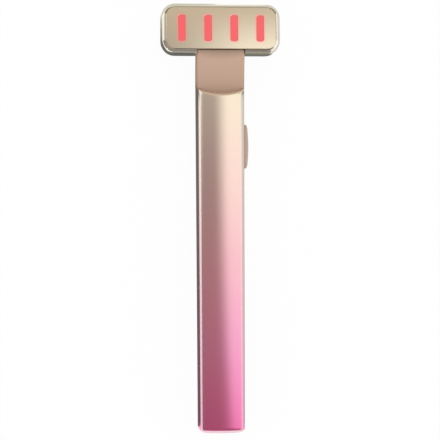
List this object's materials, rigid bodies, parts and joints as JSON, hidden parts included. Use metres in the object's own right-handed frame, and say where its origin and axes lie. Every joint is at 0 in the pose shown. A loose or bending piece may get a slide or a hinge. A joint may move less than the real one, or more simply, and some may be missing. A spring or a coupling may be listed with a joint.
{
  "type": "beauty wand",
  "caption": "Handheld T-shaped facial wand: metal handle with a side button and charging port, moulded neck, and a wide head whose warm metal plate is slotted for red light bars.",
  "frame": {"origin": "under the middle of the whole wand, on the plane of the handle's flat back", "axes": "+X across the wand towards the button, +Y from the foot of the handle to the head, +Z out of the light plate"},
  "size_m": [0.042, 0.1508, 0.015],
  "materials": {
    "sleeve": "anodised, champagne at the head fading to pink at the foot, satin gloss",
    "neck": "moulded, fine matte texture, tan",
    "button": "moulded, satin, grey tan",
    "bezel": "polished, champagne",
    "plate": "fine brushed, champagne plated",
    "light_bar": "translucent red, lit from behind",
    "seal": "soft, matte",
    "dark_plastic": "moulded, matte",
    "pale_plastic": "moulded, matte",
    "board": "solder mask, green",
    "steel": "plain",
    "cell": "foil wrap, silver",
    "wire": "insulated wire",
    "contact": "gold plated",
    "film": "amber film"
  },
  "bodies": {
    "wand": {"handle_sleeve": "sleeve", "port_insert": "neck", "usb_socket_shell": "steel", "usb_tongue": "dark_plastic", "inner_frame": "dark_plastic", "main_board": "board", "board_chips": "dark_plastic", "board_screws": "steel", "side_switch": "dark_plastic", "battery_cell": "cell", "battery_pad": "seal", "battery_leads": "wire", "motor_can": "steel", "motor_boot": "seal", "motor_leads": "wire", "sleeve_contact": "contact", "cable_sockets": "pale_plastic", "head_cable": "pale_plastic", "neck_seal": "seal", "neck_screws": "steel", "neck_housing": "neck", "head_bezel": "bezel", "face_plate": "plate", "heater_film": "film", "light_guide": "light_bar", "head_gasket": "seal", "led_board": "board", "red_leds": "pale_plastic", "plate_contact_pin": "contact", "led_board_screws": "steel"},
    "button": {"button_cap": "button", "switch_plunger": "pale_plastic"},
    "rotor": {"motor_shaft": "steel", "eccentric_weight": "steel"}
  },
  "joints": [
    {"name": "button_press", "type": "slide", "parent": "wand", "child": "button", "axis": [-1, 0, 0], "range_m": [0, 0.0006], "stiffness_N_per_m": 1500, "springref_m": -0.0004},
    {"name": "rotor_spin", "type": "hinge", "parent": "wand", "child": "rotor", "pos_m": [0, 0.01473, 0.0044], "axis": [0, 1, 0], "continuous": true}
  ]
}
